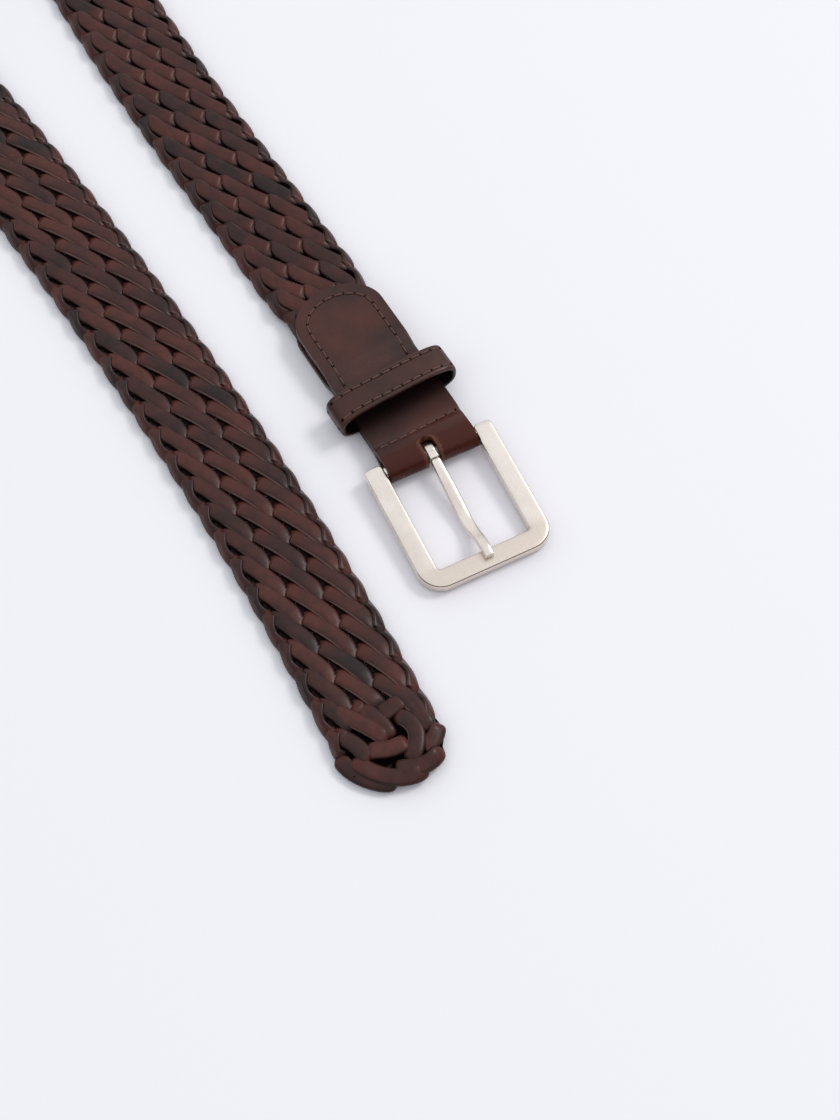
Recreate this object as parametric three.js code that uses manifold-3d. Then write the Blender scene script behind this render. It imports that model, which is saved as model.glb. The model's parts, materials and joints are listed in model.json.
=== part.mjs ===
import * as THREE from 'three';
import { mergeVertices } from 'three/addons/utils/BufferGeometryUtils.js';
import Module from 'manifold-3d';

// A braided leather belt, lying face up in one open loop.
// Its buckle end and its tip lie side by side and flat; between them the strap stands on
// its edge and goes round. All sizes are in millimetres.

// Plaited strap
const beltLength = 1020.2; // from the buckle's bar to the tip, along the strap
const braidWidth = 34.6; // over the rounded turns at both edges
const edgeNotch = 1.0; // how far the outline steps in between two turns
const braidThickness = 4.6;
const plaitPitch = 10.97; // from one edge turn to the next
const crossings = 10; // crossings in a row across the strap
const crossingStep = 3.27; // between two crossings in that row
const gapDepth = 1.3; // how far the gaps lie below the strands
const channelDepth = 0.7; // extra depth where the floats end
const tipLead = 1.4; // from the tip to the last row of crossings
const tipRadius = 17.6; // the rounded end
const leanAtBuckle = -2.8; // how far the left edge of the plait leads the right one
const leanAtTip = 2.8;
const leanChanges = { from: 0.3, to: 0.6 }; // shares of the length over which the lean changes

// Leather buckle tab, a strip folded round the bar and stitched over the plait's end
const tabWidth = 31.6;
const leather = 1.8;
const tabLength = 70; // from the bar to its rounded end
const tabRounding = 12.5; // length of that rounded end
const roundedTo = 84; // degrees round it at which a short straight edge closes it
const foldLength = 9.4; // from the bar to where the two leaves lie together
const plaitInTab = 27.5; // how far the plait's end reaches in under the leather
const plaitInside = 0.52; // how far its edges lie inside the tab's on each side
const pressedPlait = 3.4; // the plait's thickness inside the tab
const fitGap = 0.3;

// Keeper, a leather band standing round the tab
const keeperFrom = 20.1; // from the bar
const keeperWidth = 10.4;
const keeperWall = 2.0;
const keeperHeight = 13.2;
const keeperSideRoom = 4; // between the tab's edge and the band
const keeperCorner = 5; // outer radius at its four corners

// Buckle frame
const frameLength = 47;
const armWidth = 6.5;
const frameThickness = 4.0;
const armRoom = 0.4; // between the leather and each arm
const barDiameter = 3.6;
const barInset = 2.5; // from the arms' ends to the bar's axis
const outerCorner = 8;
const innerCorner = 1.2;
const armEndFlat = 0.8; // flat left between the two rounded corners of an arm's end
const frameBevel = 0.7;

// Prong
const prongWidth = 4.0;
const prongThickness = 2.3;
const barPlay = 0.25; // round the bar, inside the prong's ring
const ringWall = 1.25;
const prongOverlap = 3.4; // how far the point lies over the far bar
const prongDip = 3.1; // how far it dips below its ring's top
const dipAt = 0.76; // where it is lowest, as a share of the way to the far bar
const dipping = { at: 0.4, share: 0.48 }; // how much of the dip it has reached before that
const risenAt = 0.96; // where it has climbed again, almost to the height of its point
const lastClimb = 0.12; // height left to climb from there
const pointSlant = 0.5; // how far the lower edge of its cut end reaches beyond the upper one
const slotRoom = 0.55; // on each side of the prong
const slotBack = 4.9; // the slot's closed end, behind the bar's axis

// The strap's way over the surface: how far it has turned left, in degrees
const way = [
  { share: 0, turned: 0 },
  { share: 0.0078, turned: 1.5 },
  { share: 0.0157, turned: 5.2 },
  { share: 0.0686, turned: 5 },
  { share: 0.0784, turned: 6.3 },
  { share: 0.1362, turned: 6.8 },
  { share: 0.2352, turned: 2.7 },
  { share: 0.3366, turned: -1.5 },
  { share: 0.366, turned: 1 },
  { share: 0.3806, turned: 11.9 },
  { share: 0.5332, turned: 184.6 },
  { share: 0.5478, turned: 196.5 },
  { share: 0.577, turned: 195.5 },
  { share: 0.6668, turned: 192.2 },
  { share: 0.7671, turned: 189.3 },
  { share: 0.8663, turned: 185.7 },
  { share: 0.9647, turned: 181.3 },
  { share: 1, turned: 179.6 },
];

// Where it rises onto its edge, and where it lies down again
const rising = { from: 0.232, to: 0.382 };
const settling = { from: 0.528, to: 0.672 };

const degree = Math.PI / 180;
const smooth = (from, to, value) => THREE.MathUtils.smoothstep(value, from, to);
const blend = THREE.MathUtils.lerp;

// The strap's heading, in radians turned from where it leaves the bar. Straight lines join
// the rows, so that each stretch between two of them is an arc.
function headingAt(distance) {
  const share = distance / beltLength;
  let row = 1;
  while (row < way.length - 1 && way[row].share < share) {
    row += 1;
  }
  const before = way[row - 1];
  const after = way[row];
  const part = (share - before.share) / (after.share - before.share);
  return degree * blend(before.turned, after.turned, THREE.MathUtils.clamp(part, 0, 1));
}

// The strap's roll, from 0 where it lies flat to a right angle where it stands on its edge.
function standingAt(distance) {
  const share = distance / beltLength;
  return Math.PI / 2 * (smooth(rising.from, rising.to, share) - smooth(settling.from, settling.to, share));
}

// Walks along the strap in short steps and notes the centreline's place at each.
const walkStep = 0.5;
const walked = [new THREE.Vector2(0, 0)];
while (walked.length * walkStep < beltLength + tipRadius) {
  const middle = (walked.length - 0.5) * walkStep;
  const heading = headingAt(middle);
  const move = new THREE.Vector2(-Math.cos(heading), -Math.sin(heading));
  walked.push(walked[walked.length - 1].clone().addScaledVector(move, walkStep));
}

function centreline(distance) {
  if (distance <= 0) {
    return new THREE.Vector2(-distance, 0);
  }
  const steps = Math.min(distance / walkStep, walked.length - 1.001);
  const whole = Math.floor(steps);
  return walked[whole].clone().lerp(walked[whole + 1], steps - whole);
}

// Heights that follow from how the leather lies on the surface
const tabHalf = leather; // the two leaves lie one on the other
const barHeight = keeperWall + fitGap + tabHalf;
const openHalf = pressedPlait / 2 + fitGap; // between the leaves where the plait is held
const heldHeight = openHalf + leather;
const plaitEnd = tabLength - plaitInTab;
const openLength = 7; // over which the leaves part round the plait's end
const easeLength = 16; // over which the plait comes down to the surface
const leafLap = 2; // how far the leaves and the fold run into each other
const seamLap = 0.2; // and the closed leaves into their seam
const foldSpread = 0.8; // share of the tangent's angle at which the fold's curve meets the leaf
const holeNarrows = 50; // degrees round the bar at which the hole runs out into the seam

function centreHeight(distance) {
  const standing = standingAt(distance);
  const free = braidWidth / 2 * Math.sin(standing) + braidThickness / 2 * Math.cos(standing);
  const nearTab = blend(barHeight, heldHeight, smooth(plaitEnd - openLength, plaitEnd, distance));
  return blend(nearTab, free, smooth(tabLength, tabLength + easeLength, distance));
}

// The place of a point of the strap: so far along it from the bar, so far to the left of
// its centreline, and so far above its middle.
function place(along, left, up) {
  const centre = centreline(along);
  const heading = headingAt(along);
  const standing = standingAt(along);
  const flatLeft = new THREE.Vector3(Math.sin(heading), -Math.cos(heading), 0);
  const upright = new THREE.Vector3(0, 0, 1);
  const toLeft = flatLeft.clone().multiplyScalar(Math.cos(standing));
  toLeft.addScaledVector(upright, Math.sin(standing));
  const toTop = upright.clone().multiplyScalar(Math.cos(standing));
  toTop.addScaledVector(flatLeft, -Math.sin(standing));
  const point = new THREE.Vector3(centre.x, centre.y, centreHeight(along));
  return point.addScaledVector(toLeft, left).addScaledVector(toTop, up);
}

// Solids

const wasm = await Module();
wasm.setup();

// Turns a closed three.js geometry into a solid that can be joined and cut.
function solidOf(geometry) {
  const bare = geometry.index ? geometry.toNonIndexed() : geometry.clone();
  bare.deleteAttribute('normal');
  bare.deleteAttribute('uv');
  const merged = mergeVertices(bare, 1e-4);
  return new wasm.Manifold(new wasm.Mesh({
    numProp: 3,
    vertProperties: new Float32Array(merged.attributes.position.array),
    triVerts: new Uint32Array(merged.index.array),
  }));
}

function geometryOf(solid) {
  const mesh = solid.getMesh();
  const geometry = new THREE.BufferGeometry();
  geometry.setAttribute('position', new THREE.BufferAttribute(new Float32Array(mesh.vertProperties), 3));
  geometry.setIndex(new THREE.BufferAttribute(new Uint32Array(mesh.triVerts), 1));
  return geometry;
}

function geometryFrom(points, triangles) {
  const geometry = new THREE.BufferGeometry();
  geometry.setAttribute('position', new THREE.Float32BufferAttribute(points.flatMap((p) => [p.x, p.y, p.z]), 3));
  geometry.setIndex(triangles);
  return geometry;
}

// Skins a row of closed sections, each with the same count of points, running anticlockwise
// as seen from the far end, and closes both ends.
function skin(sections) {
  const count = sections[0].length;
  const last = (sections.length - 1) * count;
  const triangles = [];
  for (let row = 0; row < sections.length - 1; row += 1) {
    for (let corner = 0; corner < count; corner += 1) {
      const next = (corner + 1) % count;
      const near = row * count;
      const far = near + count;
      triangles.push(near + corner, near + next, far + next, near + corner, far + next, far + corner);
    }
  }
  for (let corner = 1; corner < count - 1; corner += 1) {
    triangles.push(0, corner + 1, corner, last, last + corner, last + corner + 1);
  }
  return geometryFrom(sections.flat(), triangles);
}

// Plait

// The grid has a line at each edge and one at each crossing. Where the rows left to the tip
// and the lines from the right edge add up to an odd number, two strands cross, one on the
// other, and the plait is at its full thickness.
const edgeLine = crossings + 1;
const rowStep = plaitPitch / 2;
const lastRow = Math.floor((beltLength - tipLead - plaitEnd) / rowStep);
const firstRowAt = beltLength - tipLead - lastRow * rowStep;
const floatEnds = 3; // every third line, where a strand dives under and leaves a channel

function lineOffset(line, crossed) {
  if (line === 0 || line === edgeLine) {
    const side = line === 0 ? -1 : 1;
    return side * (braidWidth / 2 - (crossed ? 0 : edgeNotch));
  }
  return (line - (crossings + 1) / 2) * crossingStep;
}

// Half the strap's width at a distance: full, and a half round at the tip.
function widthShare(distance) {
  const past = distance - (beltLength - tipRadius);
  return past <= 0 ? 1 : Math.sqrt(Math.max(0, 1 - (past / tipRadius) ** 2));
}

function braid() {
  const points = [];
  const triangles = [];
  const perRow = 2 * edgeLine; // top points from edge to edge, then the bottom ones between
  const tops = (row, line) => row * perRow + line;
  const bottoms = (row, line) => (line === 0 || line === edgeLine
    ? tops(row, line) : row * perRow + edgeLine + line);
  for (let row = 0; row <= lastRow; row += 1) {
    const along = firstRowAt + row * rowStep;
    const lean = blend(leanAtBuckle, leanAtTip, smooth(leanChanges.from, leanChanges.to, along / beltLength));
    const calm = 1 - smooth(beltLength - tipRadius, beltLength, along);
    const held = 1 - smooth(tabLength, tabLength + easeLength, along);
    const full = blend(braidThickness, pressedPlait, held) / 2;
    const squeezed = blend(1, (tabWidth - 2 * plaitInside) / braidWidth, held);
    const relief = (1 - held) * gapDepth;
    const underSide = [];
    for (let line = 0; line <= edgeLine; line += 1) {
      const crossed = (lastRow - row + line) % 2 === 1;
      const edge = line === 0 || line === edgeLine;
      const left = lineOffset(line, crossed) * widthShare(along) * squeezed;
      const at = along + lean * calm * (1 - held) * left / braidWidth;
      const channel = line % floatEnds === 1 ? channelDepth * (1 - held) : 0;
      const high = full - (crossed ? channel : relief);
      points.push(place(at, left, edge ? 0 : high));
      if (!edge) {
        underSide.push(place(at, left, crossed ? -full : -full + relief));
      }
    }
    points.push(...underSide);
  }
  for (let row = 0; row < lastRow; row += 1) {
    for (let line = 0; line < edgeLine; line += 1) {
      // Strands on top climb to the left on their way to the tip; those below climb to the right.
      const [a, b, c, d] = [tops(row, line), tops(row + 1, line), tops(row + 1, line + 1), tops(row, line + 1)];
      triangles.push(a, b, c, a, c, d);
      const [e, f, g, h] = [
        bottoms(row, line), bottoms(row + 1, line), bottoms(row + 1, line + 1), bottoms(row, line + 1),
      ];
      triangles.push(e, h, f, f, h, g);
    }
  }
  for (const row of [0, lastRow]) {
    const turn = row === 0 ? 1 : -1;
    for (let line = 0; line < edgeLine; line += 1) {
      const [a, b, c, d] = [tops(row, line), tops(row, line + 1), bottoms(row, line + 1), bottoms(row, line)];
      const faces = [[a, b, c], [a, c, d]].filter((face) => new Set(face).size === 3);
      faces.forEach((face) => triangles.push(...(turn > 0 ? face : [face[0], face[2], face[1]])));
    }
  }
  return geometryFrom(points, triangles);
}

// Buckle tab

// Distances at which the leaves get a section, closer together along the rounded end.
function leafStations() {
  const straightTo = tabLength - tabRounding;
  const stretches = [
    { from: foldLength - leafLap, to: plaitEnd - openLength, steps: 6 },
    { from: plaitEnd - openLength, to: plaitEnd, steps: 4 },
    { from: plaitEnd, to: straightTo, steps: 4 },
  ];
  const stations = stretches.flatMap(({ from, to, steps }) => (
    Array.from({ length: steps }, (_, step) => blend(from, to, step / steps))));
  const roundSteps = 8;
  for (let step = 0; step <= roundSteps; step += 1) {
    const angle = step / roundSteps * roundedTo * degree;
    stations.push(straightTo + tabRounding * Math.sin(angle));
  }
  return stations;
}

// One leaf of the tab: side is 1 for the upper leaf and -1 for the lower one. Where nothing
// lies between them the two run into each other by a small lap.
function leaf(side) {
  const sections = leafStations().map((along) => {
    const past = Math.max(0, (along - (tabLength - tabRounding)) / tabRounding);
    const half = tabWidth / 2 * Math.sqrt(1 - past ** 2);
    const opened = smooth(plaitEnd - openLength, plaitEnd, along);
    const inner = side * blend(-seamLap, openHalf, opened);
    const outer = side * (leather + openHalf * opened);
    const low = Math.min(inner, outer);
    const high = Math.max(inner, outer);
    return [[half, low], [half, high], [-half, high], [-half, low]].map(([left, up]) => place(along, left, up));
  });
  return solidOf(skin(sections));
}

const holeRadius = barDiameter / 2 + fitGap;
const foldRadius = holeRadius + leather;

// The folded end round the bar, its outline seen from the side, with the hole for the bar.
function fold() {
  const flare = Math.acos((foldRadius - tabHalf) / foldLength) * foldSpread;
  const outline = new THREE.Shape();
  outline.moveTo(foldLength, -tabHalf);
  outline.lineTo(foldLength, tabHalf);
  outline.absarc(0, 0, foldRadius, flare, -flare, false);
  outline.closePath();
  const hole = new THREE.Path();
  hole.absarc(0, 0, holeRadius, holeNarrows * degree, -holeNarrows * degree, false);
  hole.lineTo(foldRadius + leather, 0);
  hole.closePath();
  outline.holes.push(hole);
  const block = new THREE.ExtrudeGeometry(outline, { depth: tabWidth, bevelEnabled: false, curveSegments: 20 });
  block.translate(0, 0, -tabWidth / 2);
  block.rotateX(Math.PI / 2);
  block.rotateZ(Math.PI);
  block.translate(0, 0, barHeight);
  return solidOf(block);
}

// An upright slot for the prong, with a round closed end behind the bar.
function slot() {
  const half = prongWidth / 2 + slotRoom;
  const outline = new THREE.Shape();
  outline.moveTo(foldRadius + half, half);
  outline.lineTo(half - slotBack, half);
  outline.absarc(half - slotBack, 0, half, Math.PI / 2, 3 * Math.PI / 2, false);
  outline.lineTo(foldRadius + half, -half);
  outline.closePath();
  const tall = 4 * foldRadius;
  const cutter = new THREE.ExtrudeGeometry(outline, { depth: tall, bevelEnabled: false, curveSegments: 8 });
  cutter.translate(0, 0, barHeight - tall / 2);
  return solidOf(cutter);
}

function strapTab() {
  const leaves = leaf(1).add(leaf(-1));
  return geometryOf(leaves.add(fold()).subtract(slot()));
}

// Keeper

// A band round the tab, flat above and below and round at its corners, standing on the surface.
function keeper() {
  const inside = tabWidth / 2 + keeperSideRoom;
  const sideSteps = 10;
  const ring = (wall) => {
    const corner = keeperCorner - keeperWall + wall;
    const level = keeperHeight / 2 - keeperCorner;
    const points = [];
    for (const side of [1, -1]) {
      for (let step = 0; step <= sideSteps; step += 1) {
        const angle = (step / sideSteps - 0.5) * Math.PI;
        const left = inside + wall - corner + corner * Math.cos(angle);
        const bend = Math.sign(step - sideSteps / 2) * level + corner * Math.sin(angle);
        points.push([side * left, side * bend]);
      }
    }
    return points;
  };
  const outer = ring(keeperWall);
  const inner = ring(0);
  const count = outer.length;
  const points = [];
  const triangles = [];
  for (const along of [keeperFrom, keeperFrom + keeperWidth]) {
    const raise = keeperHeight / 2 - centreHeight(along);
    for (const [left, up] of [...outer, ...inner]) {
      points.push(place(along, left, up + raise));
    }
  }
  const far = 2 * count;
  for (let corner = 0; corner < count; corner += 1) {
    const next = (corner + 1) % count;
    const [a, b, c, d] = [corner, next, count + next, count + corner];
    triangles.push(a, b, far + b, a, far + b, far + a);
    triangles.push(d, far + c, c, d, far + d, far + c);
    triangles.push(a, c, b, a, d, c);
    triangles.push(far + a, far + b, far + c, far + a, far + c, far + d);
  }
  return geometryFrom(points, triangles);
}

// Buckle frame

// The frame lies in its own plane through the bar and is tilted so that its far edge rests.
const frameReach = frameLength - barInset;
const innerHalf = tabWidth / 2 + armRoom;
const outerHalf = innerHalf + armWidth;
const frameTilt = Math.asin((barHeight - frameThickness / 2) / (frameReach - frameBevel));

// Sets a geometry made round the bar, forward along +X, into its resting place.
function layOnBar(geometry) {
  geometry.rotateY(frameTilt);
  geometry.translate(0, 0, barHeight);
  return geometry;
}

function frameOutline() {
  const endCorner = (armWidth - armEndFlat) / 2;
  const outline = new THREE.Shape();
  outline.moveTo(-barInset, innerHalf + endCorner);
  outline.absarc(-barInset + endCorner, innerHalf + endCorner, endCorner, Math.PI, 1.5 * Math.PI, false);
  outline.lineTo(frameReach - armWidth - innerCorner, innerHalf);
  outline.absarc(frameReach - armWidth - innerCorner, innerHalf - innerCorner, innerCorner, Math.PI / 2, 0, true);
  outline.lineTo(frameReach - armWidth, -innerHalf + innerCorner);
  outline.absarc(frameReach - armWidth - innerCorner, innerCorner - innerHalf, innerCorner, 0, -Math.PI / 2, true);
  outline.lineTo(-barInset + endCorner, -innerHalf);
  outline.absarc(-barInset + endCorner, -innerHalf - endCorner, endCorner, Math.PI / 2, Math.PI, false);
  outline.lineTo(-barInset, -outerHalf + endCorner);
  outline.absarc(-barInset + endCorner, endCorner - outerHalf, endCorner, Math.PI, 1.5 * Math.PI, false);
  outline.lineTo(frameReach - outerCorner, -outerHalf);
  outline.absarc(frameReach - outerCorner, outerCorner - outerHalf, outerCorner, -Math.PI / 2, 0, false);
  outline.lineTo(frameReach, outerHalf - outerCorner);
  outline.absarc(frameReach - outerCorner, outerHalf - outerCorner, outerCorner, 0, Math.PI / 2, false);
  outline.lineTo(-barInset + endCorner, outerHalf);
  outline.absarc(-barInset + endCorner, outerHalf - endCorner, endCorner, Math.PI / 2, Math.PI, false);
  outline.closePath();
  return outline;
}

function buckleFrame() {
  const plate = new THREE.ExtrudeGeometry(frameOutline(), {
    depth: frameThickness - 2 * frameBevel,
    bevelEnabled: true,
    bevelThickness: frameBevel,
    bevelSize: frameBevel,
    bevelOffset: -frameBevel,
    bevelSegments: 2,
    curveSegments: 6,
  });
  plate.translate(0, 0, frameBevel - frameThickness / 2);
  const bar = new THREE.CylinderGeometry(barDiameter / 2, barDiameter / 2, 2 * innerHalf + armWidth, 20);
  return layOnBar(geometryOf(solidOf(plate).add(solidOf(bar))));
}

// Prong

// Seen from the side: a ring round the bar, then a tongue that dips and climbs over the far bar.
function prong() {
  const ringHole = barDiameter / 2 + barPlay;
  const ringRadius = ringHole + ringWall;
  const farBarFrom = frameReach - armWidth;
  const pointTop = frameThickness / 2 + fitGap + prongThickness;
  const upper = new THREE.SplineCurve([
    new THREE.Vector2(0, ringRadius),
    new THREE.Vector2(farBarFrom * dipping.at, ringRadius - prongDip * dipping.share),
    new THREE.Vector2(farBarFrom * dipAt, ringRadius - prongDip),
    new THREE.Vector2(farBarFrom * risenAt, pointTop - lastClimb),
    new THREE.Vector2(farBarFrom + prongOverlap - pointSlant, pointTop),
  ]);
  const steps = 22;
  const above = upper.getPoints(steps);
  const below = above.map((point, step) => {
    const slope = upper.getTangent(step / steps);
    return new THREE.Vector2(point.x + slope.y * prongThickness, point.y - slope.x * prongThickness);
  });
  below[steps].x += pointSlant;
  const tongue = new THREE.Shape([...below, ...above.reverse()]);
  const ring = new THREE.Shape();
  ring.absarc(0, 0, ringRadius, 0, 2 * Math.PI, false);
  const hole = new THREE.Shape();
  hole.absarc(0, 0, ringHole, 0, 2 * Math.PI, false);
  const [ringSolid, tongueSolid, holeSolid] = [ring, tongue, hole].map((shape, index) => {
    const wide = index === 2 ? 2 * prongWidth : prongWidth;
    const slab = new THREE.ExtrudeGeometry(shape, { depth: wide, bevelEnabled: false, curveSegments: 12 });
    slab.translate(0, 0, -wide / 2);
    slab.rotateX(Math.PI / 2);
    return solidOf(slab);
  });
  return layOnBar(geometryOf(ringSolid.add(tongueSolid).subtract(holeSolid)));
}

const materials = {
  braid: new THREE.MeshStandardMaterial({ color: 0x4a322c, roughness: 0.5, metalness: 0 }),
  strap_tab: new THREE.MeshStandardMaterial({ color: 0x3f2620, roughness: 0.35, metalness: 0 }),
  keeper: new THREE.MeshStandardMaterial({ color: 0x43291f, roughness: 0.38, metalness: 0 }),
  buckle_frame: new THREE.MeshStandardMaterial({ color: 0xcac4bb, roughness: 0.32, metalness: 1 }),
  prong: new THREE.MeshStandardMaterial({ color: 0xcfc9c0, roughness: 0.28, metalness: 1 }),
};

const belt = new THREE.Group();
const shapes = {
  braid: braid(),
  strap_tab: strapTab(),
  keeper: keeper(),
  buckle_frame: buckleFrame(),
  prong: prong(),
};
for (const [name, geometry] of Object.entries(shapes)) {
  const mesh = new THREE.Mesh(geometry, materials[name]);
  mesh.name = name;
  belt.add(mesh);
}

// The origin is the middle of the whole belt's box, on the surface that it lies on.
const box = new THREE.Box3().setFromObject(belt);
belt.position.set(-(box.min.x + box.max.x) / 2, -(box.min.y + box.max.y) / 2, -box.min.z);

const group = new THREE.Group();
group.add(belt);
export default group;
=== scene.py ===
import json
import math

import bmesh
import bpy
import numpy as np
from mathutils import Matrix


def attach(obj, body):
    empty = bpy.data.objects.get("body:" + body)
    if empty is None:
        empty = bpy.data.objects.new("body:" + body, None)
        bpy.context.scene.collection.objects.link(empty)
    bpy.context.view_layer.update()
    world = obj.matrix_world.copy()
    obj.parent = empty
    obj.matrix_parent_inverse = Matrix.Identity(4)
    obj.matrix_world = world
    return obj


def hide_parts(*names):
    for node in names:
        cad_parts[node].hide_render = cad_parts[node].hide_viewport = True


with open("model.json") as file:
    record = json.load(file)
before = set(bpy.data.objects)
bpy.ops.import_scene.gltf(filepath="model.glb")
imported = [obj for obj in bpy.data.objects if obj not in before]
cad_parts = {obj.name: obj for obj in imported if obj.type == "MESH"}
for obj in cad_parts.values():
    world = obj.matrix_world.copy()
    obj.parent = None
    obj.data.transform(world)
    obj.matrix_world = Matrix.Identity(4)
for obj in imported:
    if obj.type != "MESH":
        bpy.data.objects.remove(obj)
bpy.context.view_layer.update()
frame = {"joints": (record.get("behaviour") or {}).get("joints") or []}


# The strap's way over the surface, repeated from the part's source in millimetres.
# It leaves the buckle's bar, rises onto its edge, goes round in one loop and lies down
# again, so that its two ends lie side by side.

BELT_LENGTH = 1020.2  # from the bar to the tip
BRAID_WIDTH = 34.6
BRAID_THICKNESS = 4.6
TIP_RADIUS = 17.6
TAB_LENGTH = 70.0
EASE_LENGTH = 16.0  # over which the plait comes down to the surface behind the tab
PLAIT_END = 42.5  # where the plait ends inside the tab
OPEN_LENGTH = 7.0  # over which the tab's leaves part round it
BAR_HEIGHT = 4.1
HELD_HEIGHT = 3.8  # of the strap's middle where the tab holds the plait
WALK_STEP = 0.5
RISING = (0.232, 0.382)  # shares of the length over which it rises onto its edge
SETTLING = (0.528, 0.672)  # and over which it lies down again
WAY = [  # share of the length, degrees turned to the left
    (0.0, 0.0), (0.0078, 1.5), (0.0157, 5.2), (0.0686, 5.0), (0.0784, 6.3), (0.1362, 6.8),
    (0.2352, 2.7), (0.3366, -1.5), (0.366, 1.0), (0.3806, 11.9), (0.5332, 184.6),
    (0.5478, 196.5), (0.577, 195.5), (0.6668, 192.2), (0.7671, 189.3), (0.8663, 185.7),
    (0.9647, 181.3), (1.0, 179.6),
]

METRES = 0.001  # one millimetre
bar_joint = next(joint for joint in frame["joints"] if joint["name"] == "frame_swing")
bar_place = np.array(bar_joint["pos_m"][:2]) / METRES


def smooth(low, high, value):
    """Nought below low, one above high, and a cubic S between them."""
    share = np.clip((value - low) / (high - low), 0, 1)
    return share * share * (3 - 2 * share)


def blend(a, b, share):
    """Share 0 gives a, share 1 gives b."""
    return a + (b - a) * share


def heading_at(along):
    """The strap's heading in radians: straight lines join the rows of WAY."""
    shares, turned = zip(*WAY)
    return np.radians(np.interp(along / BELT_LENGTH, shares, turned))


def standing_at(along):
    """The strap's roll: nought lying flat, a right angle standing on its edge."""
    share = along / BELT_LENGTH
    return math.pi / 2 * (smooth(*RISING, share) - smooth(*SETTLING, share))


walk = np.arange(0, BELT_LENGTH + TIP_RADIUS, WALK_STEP)
walk_heading = heading_at(walk[:-1] + WALK_STEP / 2)
walk_x = np.concatenate([[0], np.cumsum(-np.cos(walk_heading) * WALK_STEP)])
walk_y = np.concatenate([[0], np.cumsum(-np.sin(walk_heading) * WALK_STEP)])


def centre_height(along):
    """Height of the strap's middle: as high as its half width and half thickness need at
    its roll, and a little higher where the tab holds the plait."""
    standing = standing_at(along)
    free = BRAID_WIDTH / 2 * np.sin(standing) + BRAID_THICKNESS / 2 * np.cos(standing)
    held = smooth(PLAIT_END - OPEN_LENGTH, PLAIT_END, along)
    near_tab = blend(BAR_HEIGHT, HELD_HEIGHT, held)
    return blend(near_tab, free, smooth(TAB_LENGTH, TAB_LENGTH + EASE_LENGTH, along))


def place(along, left, up):
    """World points in millimetres from the strap's own coordinates: the centreline's point
    so far along, plus left times the rolled sideways direction, plus up times the rolled
    upward direction."""
    along, left, up = np.broadcast_arrays(along, left, up)
    heading = heading_at(along)
    standing = standing_at(along)
    x = np.where(along < 0, -along, np.interp(along, walk, walk_x)) + bar_place[0]
    y = np.interp(along, walk, walk_y) + bar_place[1]
    side = left * np.cos(standing) - up * np.sin(standing)
    rise = left * np.sin(standing) + up * np.cos(standing)
    return np.stack([x + side * np.sin(heading), y - side * np.cos(heading),
                     centre_height(along) + rise], axis=-1)


# The plait: eleven flat leather strips with rounded grain and dyed cut edges, darkened further by painted
# shade.
# They are plaited flat, each over two and under one, and turn back at both edges without
# being flipped over.

STRIPS = 11
STRIP_WIDTH = 5.5
STRIP_THICKNESS = 2.5
STRIP_SECTION = (16, 0.62, 0.85)  # its pillow: points, powers across and up
ROW_STEP = 5.485  # half the plait's pitch
LINE_STEP = 3.27  # between two crossings in a row
CIRCUIT = 2 * STRIPS  # rows for a strip to go over to the other edge and back
LAST_ROW_AT = BELT_LENGTH - 1.4
TURN_REACH = 15.5  # how far out a strip's middle comes at an edge
FLOAT_LINES = 3  # lines from one dive to the next
JOG_BACK = 1.95  # half of how far a strip falls back along the strap as it dives
JOG_ACROSS = 0.1  # half of how far it moves across more than a straight way would
JOG_HALF = 0.075  # share of the way from dive to dive in which it does so, each side
FLOAT_BOW = 1.5  # how far a float bows to the left between two dives
BOW_ROUND = 0.07  # share of the way over which the bow turns at a dive
FLOAT_HEIGHT = 1.0  # of its middle, above the strap's middle
FLOAT_ARCH = 0.16
FLOAT_ROLL = 0.14  # slope of a float's face, so that each overlaps the next like shingles
DIVE_HEIGHT = -0.4
TURN_HEIGHT = -1.0  # next to an edge, where it dives under a turning strip
TURN_START_HEIGHT = -0.6  # and next to the edge that it has just left
EDGE_BANK = 66  # degrees that a strip tips outwards as it turns at an edge
BANK_LINES = 1.2  # and how far from the edge it does so
DIVING_WIDTH = 6.4  # where it dives, out of sight
PINCHED_WIDTH = 3.3  # just before, where its end narrows
PINCHED_THICKNESS = 0.5  # there, as a share
PINCH_ASIDE = 0.95  # share of the narrowing by which the end moves aside, for a straight edge
PINCH_ON = 0.35  # and by which it moves on along the strap
TURN_WIDTH = 0.82  # of a strip as it turns at an edge, as shares of its own
TURN_THICKNESS = 0.78
HELD_FROM = TAB_LENGTH + 8  # where the tab begins to squeeze the plait, and where it has
HELD_TO = TAB_LENGTH - 6
HELD_THICKNESS = 0.72  # shares of its own that the plait keeps there
HELD_WIDTH = 0.9
CROWDING = 0.3  # rows by which the stations move closer to the dives
CROWDS_FROM = (0.2, 1.0)  # lines from an edge over which that begins
INWARD_FROM = (0.9, 1.5)  # over which a strip begins to bow, jog and roll
INNER_FROM = (1.2, 2.0)  # and over which its dives become inner ones
TURNS_WITHIN = (0.6, 1.7)  # and over which its turn at the edge ends
RISE_LINES = (0.7, 0.34)  # lines over which it rises from a dive, at an edge and inside
WIDEN_LINES = (0.35, 0.95)  # over which it widens after a dive, and narrows before the next
SURFACED = (0.1, 0.42)  # lines from a dive over which its painted shade from lying under the others fades
UNDER_SHADE_FADES = (0.04, 0.24)  # over which it comes to light
NEWLY_RISEN = (0.15, 1.0)  # over which its redder leather fades
ENDING = (0.0, 0.3)  # and over which its narrowing end moves aside
LEANS = (-2.8, 2.8)  # how far the left edge leads the right one, near the buckle and the tip
LEAN_CHANGES = (0.3, 0.6)  # shares of the length over which that changes
STEPS_PER_ROW = 10
STRIPS_FROM = 50.0  # hidden inside the tab
STRIPS_TO = -1.4  # rows before the last one; the tip's own strips go on from there

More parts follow.
